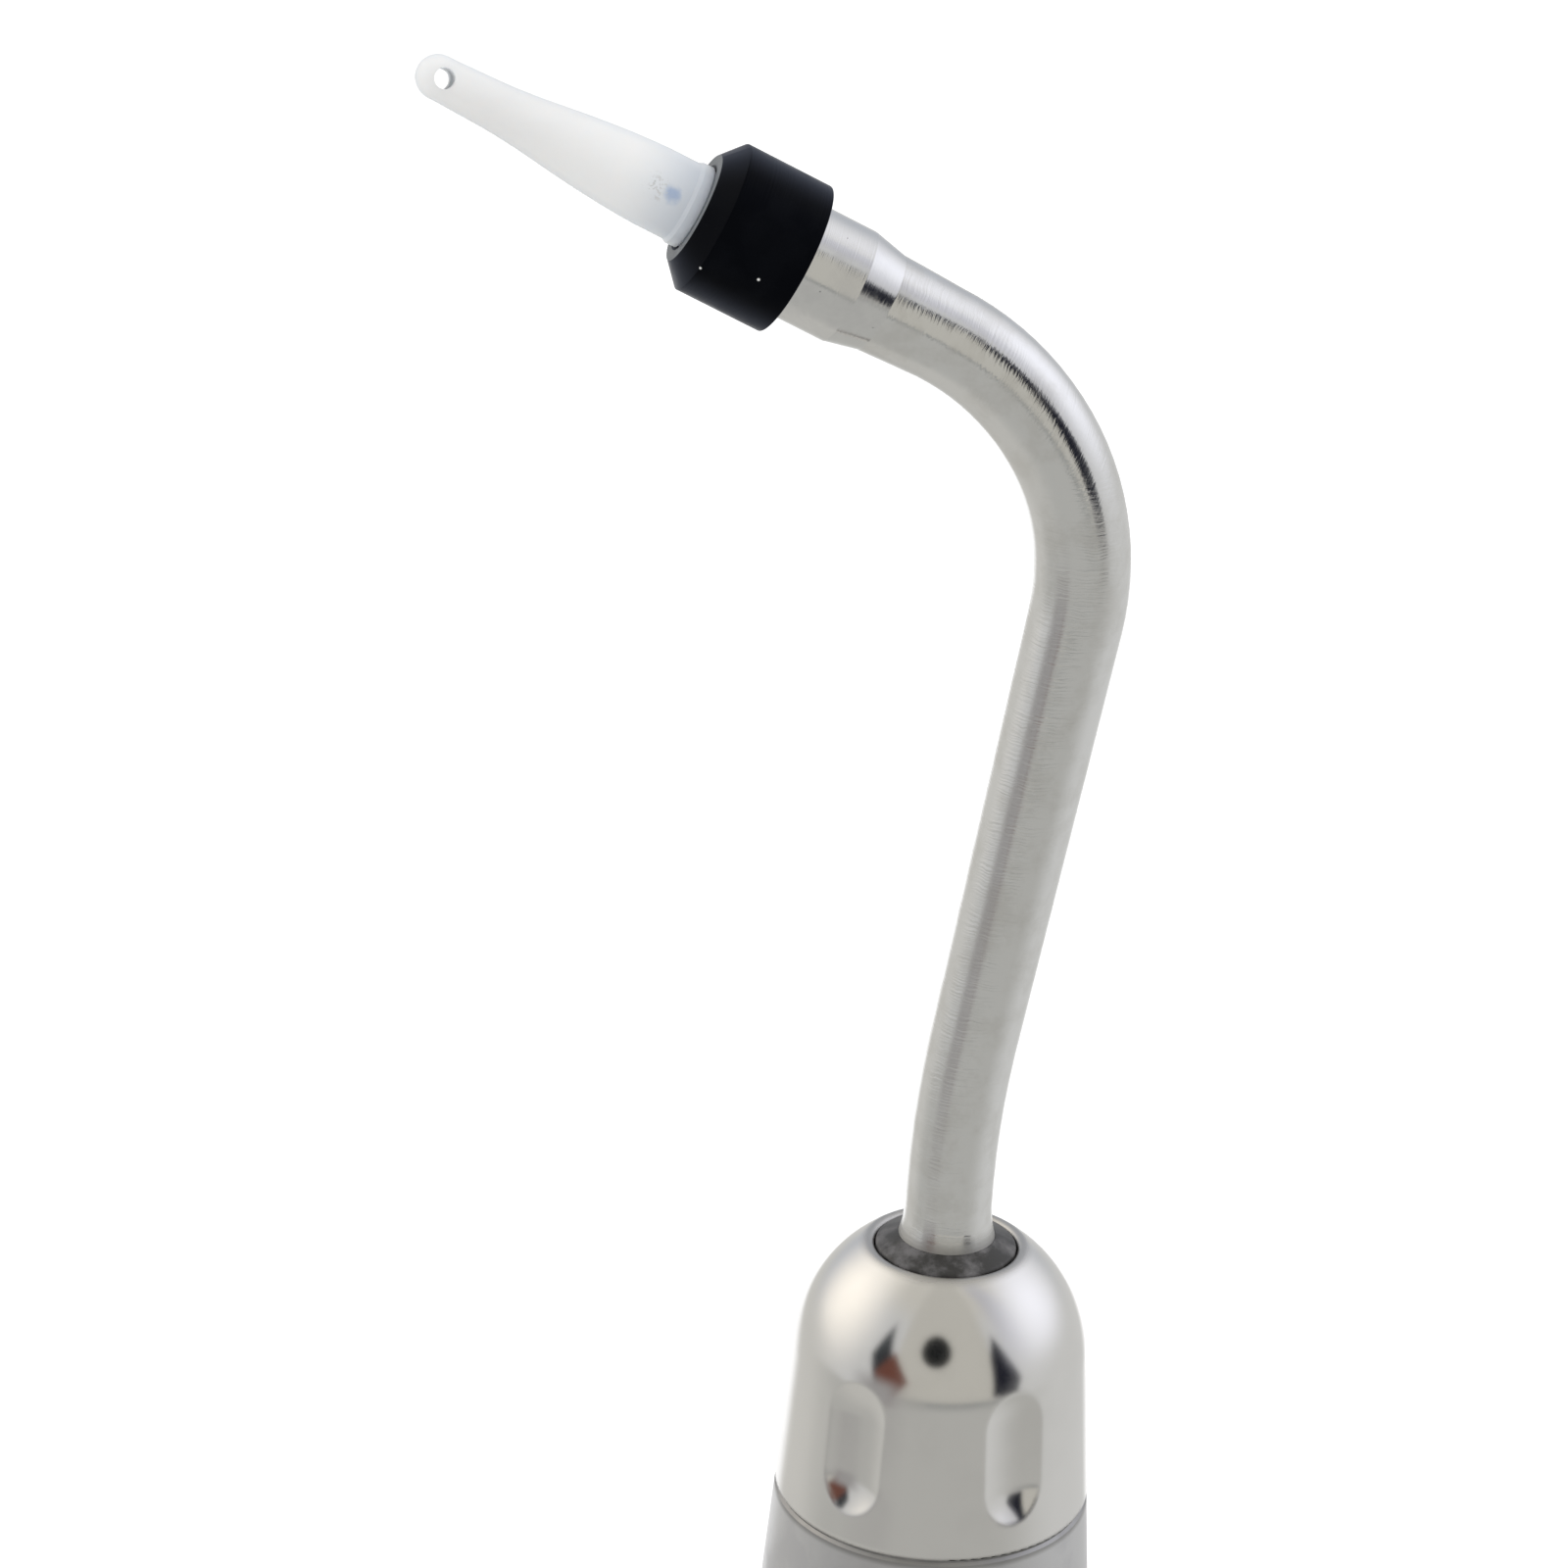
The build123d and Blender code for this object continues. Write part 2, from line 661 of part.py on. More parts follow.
# Hose spigot: screwed into the barrel's tail, with a shoulder that the hose butts against
def hose_spigot():
    throat_z = core_bottom_z - spigot_throat_length
    groove_r = barrel_bore_r + tail_ring_inset
    body = turned([
        (spigot_bore_r, -spigot_length),
        (spigot_r - spigot_chamfer, -spigot_length),
        (spigot_r, -spigot_length + spigot_chamfer),
        (spigot_r, 0),
        (tail_flange_r - barrel_edge, 0),
        (tail_flange_r, barrel_edge),
        (tail_flange_r, barrel_bottom_z),
        (tail_thread_r, barrel_bottom_z),
        (tail_thread_r, tail_top_z),
        (core_socket_r, tail_top_z),
        (core_socket_r, core_bottom_z),
        (core_bore_r, core_bottom_z),
        (core_bore_r, throat_z),
        (spigot_bore_r, throat_z - spigot_bore_r + core_bore_r),
    ])
    ring_groove = turned([
        (groove_r, barrel_bottom_z - 2 * small_ring_r),
        (groove_r + 2 * small_ring_r, barrel_bottom_z - 2 * small_ring_r),
        (groove_r + 2 * small_ring_r, barrel_bottom_z),
        (groove_r, barrel_bottom_z),
    ])
    return body - core_ring_groove(tail_top_z - core_ring_setback) - ring_groove


# O-ring that seals the barrel's tail against the hose spigot's flange
def tail_ring():
    centre_r = barrel_bore_r + tail_ring_inset + small_ring_r
    return o_ring(centre_r, barrel_bottom_z - small_ring_r, small_ring_r)


parts = {
    "nozzle": nozzle(),
    "clamp_nut": clamp_nut(),
    "nozzle_gasket": nozzle_gasket(),
    "tip_nipple": tip_nipple(),
    "tip_socket": tip_socket(),
    "cannula_tube": cannula_tube(),
    "foot_ferrule": foot_ferrule(),
    "foot_o_ring_upper": foot_o_ring(upper_ring_drop),
    "foot_o_ring_lower": foot_o_ring(lower_ring_drop),
    "dust_seal": dust_seal(),
    "thrust_washer": thrust_washer(),
    "nose_cap": nose_cap(),
    "bearing_bush": bearing_bush(),
    "chuck_body": chuck_body(),
    "cap_drag_ring": cap_drag_ring(),
    "joint_ring": joint_ring(),
    "barrel": barrel(),
    "core_tube": core_tube(),
    "core_o_ring_front": core_o_ring(chuck_bottom_z + core_ring_setback),
    "core_o_ring_rear": core_o_ring(tail_top_z - core_ring_setback),
    "tail_ring": tail_ring(),
    "hose_spigot": hose_spigot(),
}

os.makedirs("parts", exist_ok=True)
for name, shape in parts.items():
    export_step(shape, f"parts/{name}.step")
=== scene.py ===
import math

import bmesh
import bpy
from mathutils import Matrix, Vector


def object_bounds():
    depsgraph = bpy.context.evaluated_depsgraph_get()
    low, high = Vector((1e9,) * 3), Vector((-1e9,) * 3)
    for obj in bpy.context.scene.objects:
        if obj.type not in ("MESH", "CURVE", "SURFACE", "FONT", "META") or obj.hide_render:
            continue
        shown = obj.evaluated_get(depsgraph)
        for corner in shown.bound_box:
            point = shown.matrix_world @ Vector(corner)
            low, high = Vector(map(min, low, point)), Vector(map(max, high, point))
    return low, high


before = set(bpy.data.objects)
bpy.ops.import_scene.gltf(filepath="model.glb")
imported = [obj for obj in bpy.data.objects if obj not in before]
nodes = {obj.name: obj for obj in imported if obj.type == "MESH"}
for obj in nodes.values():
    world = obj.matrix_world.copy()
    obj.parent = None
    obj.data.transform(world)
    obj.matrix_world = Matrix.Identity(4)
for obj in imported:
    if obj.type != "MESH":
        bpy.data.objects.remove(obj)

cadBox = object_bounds()
scene = bpy.context.scene
print("frame loaded:", len(nodes), "nodes")


# places in metres, angles in degrees, lens and sensor in millimetres
cameraSettings = {
    "aim": (-0.009974, 0.0, 0.067134),
    "distance": 0.253914,
    "azimuth": -5.620,
    "elevation": 22.520,
    "roll": 2.721,
    "lens": 112.503,
    "sensor": 36.0,
    "clipStart": 0.01,
}


def makeCamera(settings):
    azimuth = math.radians(settings["azimuth"])
    elevation = math.radians(settings["elevation"])
    roll = math.radians(settings["roll"])
    back = Vector((
        math.sin(azimuth) * math.cos(elevation),
        -math.cos(azimuth) * math.cos(elevation),
        math.sin(elevation),
    ))
    right = Vector((math.cos(azimuth), math.sin(azimuth), 0))
    up = back.cross(right)
    across = right * math.cos(roll) + up * math.sin(roll)
    upward = up * math.cos(roll) - right * math.sin(roll)
    place = Vector(settings["aim"]) + back * settings["distance"]
    data = bpy.data.cameras.new("camera")
    data.lens = settings["lens"]
    data.sensor_width = settings["sensor"]
    data.clip_start = settings["clipStart"]
    camera = bpy.data.objects.new("camera", data)
    scene.collection.objects.link(camera)
    turn = Matrix((across, upward, back)).transposed().to_4x4()
    camera.matrix_world = Matrix.Translation(place) @ turn
    scene.camera = camera


makeCamera(cameraSettings)
print("camera ready")


def put(tree, kind, inputs=None, **settings):
    node = tree.nodes.new(kind)
    for key, value in settings.items():
        setattr(node, key, value)
    for key, value in (inputs or {}).items():
        if isinstance(value, bpy.types.NodeSocket):
            tree.links.new(value, node.inputs[key])
        else:
            node.inputs[key].default_value = value
    return node


def calc(tree, operation, *values):
    return put(tree, "ShaderNodeMath", dict(enumerate(values)), operation=operation).outputs[0]


def blendColors(tree, amount, first, second):
    inputs = {0: amount, 6: first, 7: second}
    return put(tree, "ShaderNodeMix", inputs, data_type="RGBA").outputs[2]


def softStep(tree, value, low, high, lowOut=0.0, highOut=1.0):
    inputs = {0: value, 1: low, 2: high, 3: lowOut, 4: highOut}
    return put(tree, "ShaderNodeMapRange", inputs, interpolation_type="SMOOTHSTEP").outputs[0]


def newGroup(name, inputs, outputs):
    group = bpy.data.node_groups.new(name, "ShaderNodeTree")
    for title, kind, value in inputs:
        socket = group.interface.new_socket(title, in_out="INPUT", socket_type="NodeSocket" + kind)
        if value is not None:
            socket.default_value = value
    for title, kind in outputs:
        group.interface.new_socket(title, in_out="OUTPUT", socket_type="NodeSocket" + kind)
    entry = group.nodes.new("NodeGroupInput")
    leave = group.nodes.new("NodeGroupOutput")
    return group, entry.outputs, leave.inputs


def useGroup(tree, group, inputs):
    return put(tree, "ShaderNodeGroup", inputs, node_tree=group).outputs


def rgb(red, green, blue):
    return (red, green, blue, 1.0)


turningSettings = {"fineDetail": 2.0, "slowScale": 420.0, "slowDetail": 1.0}


# rings left by a lathe tool, on faces of any slope about the local Z axis
def makeTurningLines(settings):
    group, entry, leave = newGroup(
        "turningLines",
        [("Vector", "Vector", None), ("Lines", "Float", 9000.0), ("Unevenness", "Float", 0.5)],
        [("Height", "Float")],
    )
    parts = put(group, "ShaderNodeSeparateXYZ", {0: entry["Vector"]}).outputs
    across = calc(group, "POWER", calc(group, "ADD", calc(group, "POWER", parts[0], 2.0),
                                       calc(group, "POWER", parts[1], 2.0)), 0.5)
    along = calc(group, "MULTIPLY", calc(group, "ADD", parts[2], across), entry["Lines"])
    fine = put(group, "ShaderNodeTexNoise", {"W": along, "Scale": 1.0,
                                             "Detail": settings["fineDetail"]},
               noise_dimensions="1D").outputs[0]
    slow = put(group, "ShaderNodeTexNoise", {"Vector": entry["Vector"],
                                             "Scale": settings["slowScale"],
                                             "Detail": settings["slowDetail"]}).outputs[0]
    uneven = calc(group, "MULTIPLY", calc(group, "SUBTRACT", slow, 0.5), entry["Unevenness"])
    group.links.new(calc(group, "ADD", fine, uneven), leave["Height"])
    return group


drawnSettings = {
    "bendFrom": 0.080, "bendTo": 0.088,    # heights between which the tip's axis takes over
    "detail": 3.0, "driftScale": 900.0, "driftDetail": 2.0, "drift": 3.0,
}


# rings left by polishing across the tube: along the tip's axis, and along Z below the bend
def makeDrawnLines(settings):
    group, entry, leave = newGroup(
        "drawnLines",
        [("Vector", "Vector", None), ("Tip Vector", "Vector", None), ("Lines", "Float", 7000.0)],
        [("Height", "Float")],
    )
    own = put(group, "ShaderNodeSeparateXYZ", {0: entry["Vector"]}).outputs
    tip = put(group, "ShaderNodeSeparateXYZ", {0: entry["Tip Vector"]}).outputs
    upper = softStep(group, own[2], settings["bendFrom"], settings["bendTo"])
    drift = put(group, "ShaderNodeTexNoise", {"Vector": entry["Vector"],
                                              "Scale": settings["driftScale"],
                                              "Detail": settings["driftDetail"]}).outputs[0]
    rings = []
    for height in (own[2], tip[2]):
        place = calc(group, "ADD", calc(group, "MULTIPLY", height, entry["Lines"]),
                     calc(group, "MULTIPLY", drift, settings["drift"]))
        rings.append(put(group, "ShaderNodeTexNoise", {"W": place, "Scale": 1.0,
                                                       "Detail": settings["detail"]},
                         noise_dimensions="1D").outputs[0])
    fine = put(group, "ShaderNodeMix", {0: upper, 2: rings[0], 3: rings[1]}).outputs[0]
    group.links.new(fine, leave["Height"])
    return group


handlingSettings = {"detail": 5.0, "roughness": 0.62, "from": 0.42, "to": 0.68}


# faint patches where fingers and cloths have dulled a polish
def makeHandling(settings):
    group, entry, leave = newGroup(
        "handling",
        [("Vector", "Vector", None), ("Size", "Float", 260.0)],
        [("Mask", "Float")],
    )
    wide = put(group, "ShaderNodeTexNoise", {"Vector": entry["Vector"], "Scale": entry["Size"],
                                             "Detail": settings["detail"],
                                             "Roughness": settings["roughness"]}).outputs[0]
    group.links.new(softStep(group, wide, settings["from"], settings["to"]), leave["Mask"])
    return group


# small pits or dust, one in a few cells of a Voronoi pattern
def makeSpecks():
    group, entry, leave = newGroup(
        "specks",
        [("Vector", "Vector", None), ("Scale", "Float", 900.0), ("Size", "Float", 0.12),
         ("Share", "Float", 0.1)],
        [("Mask", "Float")],
    )
    cells = put(group, "ShaderNodeTexVoronoi", {"Vector": entry["Vector"],
                                                "Scale": entry["Scale"]}).outputs
    near = calc(group, "LESS_THAN", cells["Distance"], entry["Size"])
    pick = put(group, "ShaderNodeSeparateColor", {0: cells["Color"]}).outputs[0]
    chosen = calc(group, "LESS_THAN", pick, entry["Share"])
    group.links.new(calc(group, "MULTIPLY", near, chosen), leave["Mask"])
    return group


# close, shallow grain left by polishing or blasting
def makeFineGrain():
    group, entry, leave = newGroup(
        "fineGrain",
        [("Vector", "Vector", None), ("Scale", "Float", 9000.0), ("Detail", "Float", 3.0)],
        [("Height", "Float")],
    )
    grain = put(group, "ShaderNodeTexNoise", {"Vector": entry["Vector"], "Scale": entry["Scale"],
                                              "Detail": entry["Detail"]}).outputs[0]
    group.links.new(grain, leave["Height"])
    return group


turningLines = makeTurningLines(turningSettings)
drawnLines = makeDrawnLines(drawnSettings)
handling = makeHandling(handlingSettings)
specks = makeSpecks()
fineGrain = makeFineGrain()
print("surface effects ready")


def startMaterial(name):
    material = bpy.data.materials.new(name)
    material.use_nodes = True
    tree = material.node_tree
    tree.nodes.clear()
    output = tree.nodes.new("ShaderNodeOutputMaterial")
    shader = tree.nodes.new("ShaderNodeBsdfPrincipled")
    tree.links.new(shader.outputs[0], output.inputs["Surface"])
    place = put(tree, "ShaderNodeTexCoord").outputs["Object"]
    return material, tree, shader, place


def setShader(tree, shader, inputs):
    for key, value in inputs.items():
        if isinstance(value, bpy.types.NodeSocket):
            tree.links.new(value, shader.inputs[key])
        else:
            shader.inputs[key].default_value = value


def bumped(tree, height, strength, distance):
    inputs = {"Height": height, "Strength": strength, "Distance": distance}
    return put(tree, "ShaderNodeBump", inputs).outputs[0]


# a Mapping node that puts the tip's own axis on local Z, from a point and a lean
tipAxis = {"point": (-0.0157799, 0.0, 0.0978788), "direction": (-0.896486, 0.0, 0.443071)}


def alongTip(tree, place):
    lean = math.atan2(tipAxis["direction"][0], tipAxis["direction"][2])
    shift = put(tree, "ShaderNodeVectorMath", {0: place, 1: tipAxis["point"]},
                operation="SUBTRACT").outputs[0]
    return put(tree, "ShaderNodeMapping", {"Vector": shift, "Rotation": (0, -lean, 0)}).outputs[0]


# the entries that darken the colour by height near a joint are painted shade, laid where parts
# meet and shade falls
metalSettings = {
    "chromePlate": {
        "color": (0.80, 0.79, 0.775), "dull": (0.78, 0.77, 0.755), "roughness": (0.13, 0.17),
        "lines": None, "grain": 5200, "bump": 0.02, "patch": 170,
        "softEdge": 0.00045,
        "jointShade": [{"from": 0.02590, "to": 0.02562, "amount": 0.35},
                  {"from": 0.04005, "to": 0.04055, "amount": 0.55, "dulling": 0.25}],
    },
    "tubeSteel": {
        "color": (0.80, 0.80, 0.795), "dull": (0.74, 0.735, 0.72), "roughness": (0.11, 0.17),
        "lines": "drawn", "count": 7000, "grain": 6000, "bump": 0.5, "depth": 0.000018,
        "patch": 420,
        "jointShade": [{"from": 0.0421, "to": 0.0409, "amount": 0.55, "dulling": 0.34}],
    },
    "socketSteel": {
        "color": (0.79, 0.79, 0.785), "dull": (0.75, 0.75, 0.75), "roughness": (0.11, 0.18),
        "lines": "turned", "count": 12000, "grain": 6000, "bump": 0.3, "depth": 0.000016,
        "patch": 500,
        "pits": 0.03,
    },
    "satinSteel": {
        "color": (0.66, 0.66, 0.67), "dull": (0.61, 0.61, 0.625), "roughness": (0.34, 0.42),
        "lines": None, "grain": 11000, "bump": 0.24, "patch": 240,
        "jointShade": [{"from": 0.0249, "to": 0.0253, "amount": 0.6}],
    },
    "turnedSteel": {
        "color": (0.70, 0.70, 0.70), "dull": (0.60, 0.60, 0.60), "roughness": (0.18, 0.28),
        "lines": "lathe", "count": 8000, "grain": 6000, "bump": 0.28, "patch": 260,
    },
}


metalDetail = {
    "grainDetail": 3.0, "grainShare": 0.35, "unevenness": 0.6, "depth": 0.00001,
    "pitScale": 2900.0, "pitSize": 0.11, "pitColor": (0.30, 0.30, 0.31),
    # the first colour below is the tone of that painted shade at the joints
    "shadeTone": (0.20, 0.195, 0.185), "edgeSamples": 6,
}


def makeMetal(name, settings, detail):
    material, tree, shader, place = startMaterial(name)
    tip = alongTip(tree, place)
    worn = useGroup(tree, handling, {"Vector": place, "Size": settings["patch"]})["Mask"]
    height = useGroup(tree, fineGrain, {"Vector": place, "Scale": settings["grain"],
                                        "Detail": detail["grainDetail"]})["Height"]
    if settings["lines"] == "drawn":
        rings = useGroup(tree, drawnLines, {"Vector": place, "Tip Vector": tip,
                                            "Lines": settings["count"]})["Height"]
    elif settings["lines"]:
        turned = tip if settings["lines"] == "turned" else place
        rings = useGroup(tree, turningLines, {"Vector": turned, "Lines": settings["count"],
                                              "Unevenness": detail["unevenness"]})["Height"]
    if settings["lines"]:
        height = calc(tree, "ADD", calc(tree, "MULTIPLY", height, detail["grainShare"]), rings)
    color = blendColors(tree, worn, rgb(*settings["color"]), rgb(*settings["dull"]))
    roughness = softStep(tree, worn, 0.0, 1.0, *settings["roughness"])
    if "pits" in settings:
        pits = useGroup(tree, specks, {"Vector": place, "Scale": detail["pitScale"],
                                       "Size": detail["pitSize"],
                                       "Share": settings["pits"]})["Mask"]
        color = blendColors(tree, pits, color, rgb(*detail["pitColor"]))
    # painted shade along the joints, by height; some entries also raise the roughness there
    own = put(tree, "ShaderNodeSeparateXYZ", {0: place}).outputs
    for jointShade in settings.get("jointShade", []):
        low, high = sorted((jointShade["from"], jointShade["to"]))
        rising = jointShade["from"] < jointShade["to"]
        near = softStep(tree, own[2], low, high, 0.0 if rising else 1.0, 1.0 if rising else 0.0)
        near = calc(tree, "MULTIPLY", near, jointShade["amount"])
        color = blendColors(tree, near, color, rgb(*detail["shadeTone"]))
        if jointShade.get("dulling"):
            roughness = calc(tree, "ADD", roughness, calc(tree, "MULTIPLY", near,
                                                          jointShade["dulling"] / jointShade["amount"]))
    normal = bumped(tree, height, settings["bump"], settings.get("depth", detail["depth"]))
    if settings.get("softEdge"):
        edge = put(tree, "ShaderNodeBevel", {"Radius": settings["softEdge"]},
                   samples=detail["edgeSamples"])
        tree.links.new(edge.outputs[0], normal.node.inputs["Normal"])
    setShader(tree, shader, {
        "Base Color": color,
        "Metallic": 1.0,
        "Roughness": roughness,
        "Normal": normal,
    })
    return material


# the nipple's end and a patch of moulding wrinkles show through the plastic
nozzleSettings = {
    "clear": (0.865, 0.885, 0.905), "milky": (0.89, 0.895, 0.895),
    "base": (0.58, 0.62, 0.68), "baseLength": 0.0046,
    # the next line is painted shade towards the outline: its colour, facing range and share
    "wall": (0.80, 0.84, 0.89), "wallFacing": (0.35, 0.75), "wallShare": 0.6,
    "cloudScale": 300.0, "grainScale": 2600.0,
    "nipple": {"at": (-0.01702, -0.00199, 0.09910), "size": 0.0006, "ragged": 0.8,
               "share": 0.85, "color": (0.36, 0.45, 0.62)},
    "wrinkles": {"at": (-0.01775, -0.00200, 0.09942), "size": 0.00085, "ragged": 1.2},
    "bubbleScale": 7500.0, "bubbleRange": (0.50, 0.60),
    "bubble": (0.60, 0.61, 0.62), "bubbleHeight": 5.0,
    "roughness": (0.32, 0.40), "bump": 0.16, "depth": 0.00002,
    "scatter": 0.5, "scatterRadius": (0.8, 0.9, 1.0), "scatterScale": 0.002, "seeThrough": 0.08,
}
markNoise = {"scale": 2600.0, "detail": 3.0, "solid": 0.25}    # solid: share of the mark's radius


def nearPoint(tree, place, point, size, ragged=0.0):
    away = put(tree, "ShaderNodeVectorMath", {0: place, 1: point}, operation="DISTANCE").outputs[1]
    if ragged:
        noise = put(tree, "ShaderNodeTexNoise", {"Vector": place, "Scale": markNoise["scale"],
                                                 "Detail": markNoise["detail"]}).outputs[0]
        shift = calc(tree, "MULTIPLY", calc(tree, "SUBTRACT", noise, 0.5), size * ragged)
        away = calc(tree, "ADD", away, shift)
    return softStep(tree, away, size * markNoise["solid"], size, 1.0, 0.0)


def makeNozzlePlastic(settings):
    material, tree, shader, place = startMaterial("milkyPlastic")
    tip = put(tree, "ShaderNodeSeparateXYZ", {0: alongTip(tree, place)}).outputs
    cloud = useGroup(tree, fineGrain, {"Vector": place, "Scale": settings["cloudScale"],
                                       "Detail": 1.0})["Height"]
    grain = useGroup(tree, fineGrain, {"Vector": place, "Scale": settings["grainScale"],
                                       "Detail": 4.0})["Height"]
    color = blendColors(tree, cloud, rgb(*settings["clear"]), rgb(*settings["milky"]))
    base = softStep(tree, tip[2], 0.0, settings["baseLength"], 1.0, 0.0)
    color = blendColors(tree, base, color, rgb(*settings["base"]))
    # painted shade: a darker, bluer tone towards the outline, where the plastic is seen edge-on
    facing = put(tree, "ShaderNodeLayerWeight", {"Blend": 0.5}).outputs["Facing"]
    wall = softStep(tree, facing, *settings["wallFacing"])
    wall = calc(tree, "MULTIPLY", wall, settings["wallShare"])
    color = blendColors(tree, wall, color, rgb(*settings["wall"]))
    nipple = settings["nipple"]
    stain = nearPoint(tree, place, nipple["at"], nipple["size"], nipple["ragged"])
    stain = calc(tree, "MULTIPLY", stain, nipple["share"])
    color = blendColors(tree, stain, color, rgb(*nipple["color"]))
    wrinkles = settings["wrinkles"]
    patch = nearPoint(tree, place, wrinkles["at"], wrinkles["size"], wrinkles["ragged"])
    bubbles = put(tree, "ShaderNodeTexNoise", {"Vector": place, "Scale": settings["bubbleScale"],
                                               "Detail": 2.0}).outputs[0]
    bubbles = softStep(tree, bubbles, *settings["bubbleRange"])
    bubbles = calc(tree, "MULTIPLY", bubbles, patch)
    color = blendColors(tree, bubbles, color, rgb(*settings["bubble"]))
    height = calc(tree, "ADD", grain, calc(tree, "MULTIPLY", bubbles, settings["bubbleHeight"]))
    setShader(tree, shader, {
        "Base Color": color,
        "Metallic": 0.0,
        "Roughness": softStep(tree, cloud, 0.0, 1.0, *settings["roughness"]),
        "IOR": 1.45,
        "Specular IOR Level": 0.3,
        "Subsurface Weight": settings["scatter"],
        "Subsurface Radius": settings["scatterRadius"],
        "Subsurface Scale": settings["scatterScale"],
        "Transmission Weight": settings["seeThrough"],
        "Normal": bumped(tree, height, settings["bump"], settings["depth"]),
    })
    return material


# the flecks are two grains of dust, each a place and a radius
nutSettings = {
    "color": (0.0010, 0.0012, 0.0022), "worn": (0.0020, 0.0023, 0.0036), "patch": 420.0,
    "sheen": (0.023, 0.028, 0.044), "sheenFacing": (0.25, 0.85),
    "dust": (0.7, 0.7, 0.7), "dustScale": 620.0, "dustSize": 0.06, "dustShare": 0.12,
    "fleck": (0.75, 0.75, 0.73),
    "flecks": [((-0.01563, -0.00359, 0.09585), 0.00010), ((-0.01278, -0.00390, 0.09542), 0.00011)],
    "lines": 9000.0, "unevenness": 0.4,
    "chamferFrom": -0.00103, "scores": (0.56, 0.70), "scored": (0.020, 0.023, 0.030),
    "faceFrom": -0.00002, "face": (0.17, 0.18, 0.19),
    "roughness": (0.28, 0.36), "specular": 0.05, "tint": (0.80, 0.88, 1.0),
    "bump": 0.5, "depth": 0.00002,
}


def makeBlackPlastic(settings):
    material, tree, shader, place = startMaterial("blackAcetal")
    local = alongTip(tree, place)
    tip = put(tree, "ShaderNodeSeparateXYZ", {0: local}).outputs
    lines = useGroup(tree, turningLines, {"Vector": local, "Lines": settings["lines"],
                                          "Unevenness": settings["unevenness"]})["Height"]
    worn = useGroup(tree, handling, {"Vector": place, "Size": settings["patch"]})["Mask"]
    dust = useGroup(tree, specks, {"Vector": place, "Scale": settings["dustScale"],
                                   "Size": settings["dustSize"],
                                   "Share": settings["dustShare"]})["Mask"]
    color = blendColors(tree, worn, rgb(*settings["color"]), rgb(*settings["worn"]))
    color = blendColors(tree, dust, color, rgb(*settings["dust"]))
    facing = put(tree, "ShaderNodeLayerWeight", {"Blend": 0.5}).outputs["Facing"]
    sheen = softStep(tree, facing, *settings["sheenFacing"])
    color = blendColors(tree, sheen, color, rgb(*settings["sheen"]))
    for at, size in settings["flecks"]:
        color = blendColors(tree, nearPoint(tree, place, at, size), color, rgb(*settings["fleck"]))
    chamfer = calc(tree, "GREATER_THAN", tip[2], settings["chamferFrom"])
    scored = calc(tree, "MULTIPLY", softStep(tree, lines, *settings["scores"]), chamfer)
    color = blendColors(tree, scored, color, rgb(*settings["scored"]))
    face = calc(tree, "GREATER_THAN", tip[2], settings["faceFrom"])
    color = blendColors(tree, face, color, rgb(*settings["face"]))
    setShader(tree, shader, {
        "Base Color": color,
        "Metallic": 0.0,
        "Roughness": softStep(tree, worn, 0.0, 1.0, *settings["roughness"]),
        "Specular IOR Level": settings["specular"],
        "Specular Tint": rgb(*settings["tint"]),
        "Normal": bumped(tree, lines, settings["bump"], settings["depth"]),
    })
    return material


softSettings = {
    "blackRubber": {"color": (0.028, 0.027, 0.026), "pale": (0.14, 0.135, 0.138),
                    "roughness": (0.34, 0.52), "patch": 620, "grain": 6000},
    "greyRubber": {"color": (0.13, 0.128, 0.122), "pale": (0.19, 0.185, 0.178),
                   "roughness": (0.50, 0.65), "patch": 620, "grain": 6000},
    "whiteSilicone": {"color": (0.80, 0.80, 0.78), "pale": (0.86, 0.86, 0.84),
                      "roughness": (0.45, 0.60), "patch": 420, "grain": 5000},
    "waxyPolymer": {"color": (0.84, 0.84, 0.82), "pale": (0.89, 0.89, 0.88),
                    "roughness": (0.35, 0.50), "patch": 300, "grain": 5000},
}


softDetail = {"grainDetail": 3.0, "bump": 0.25, "depth": 0.00002}


def makeSoft(name, settings, detail):
    material, tree, shader, place = startMaterial(name)
    worn = useGroup(tree, handling, {"Vector": place, "Size": settings["patch"]})["Mask"]
    grain = useGroup(tree, fineGrain, {"Vector": place, "Scale": settings["grain"],
                                       "Detail": detail["grainDetail"]})["Height"]
    setShader(tree, shader, {
        "Base Color": blendColors(tree, worn, rgb(*settings["color"]), rgb(*settings["pale"])),
        "Metallic": 0.0,
        "Roughness": softStep(tree, worn, 0.0, 1.0, *settings["roughness"]),
        "Normal": bumped(tree, grain, detail["bump"], detail["depth"]),
    })
    return material


finishes = {
    name: makeMetal(name, settings, metalDetail) for name, settings in metalSettings.items()
}
for name, settings in softSettings.items():
    finishes[name] = makeSoft(name, settings, softDetail)
finishes["milkyPlastic"] = makeNozzlePlastic(nozzleSettings)
finishes["blackAcetal"] = makeBlackPlastic(nutSettings)

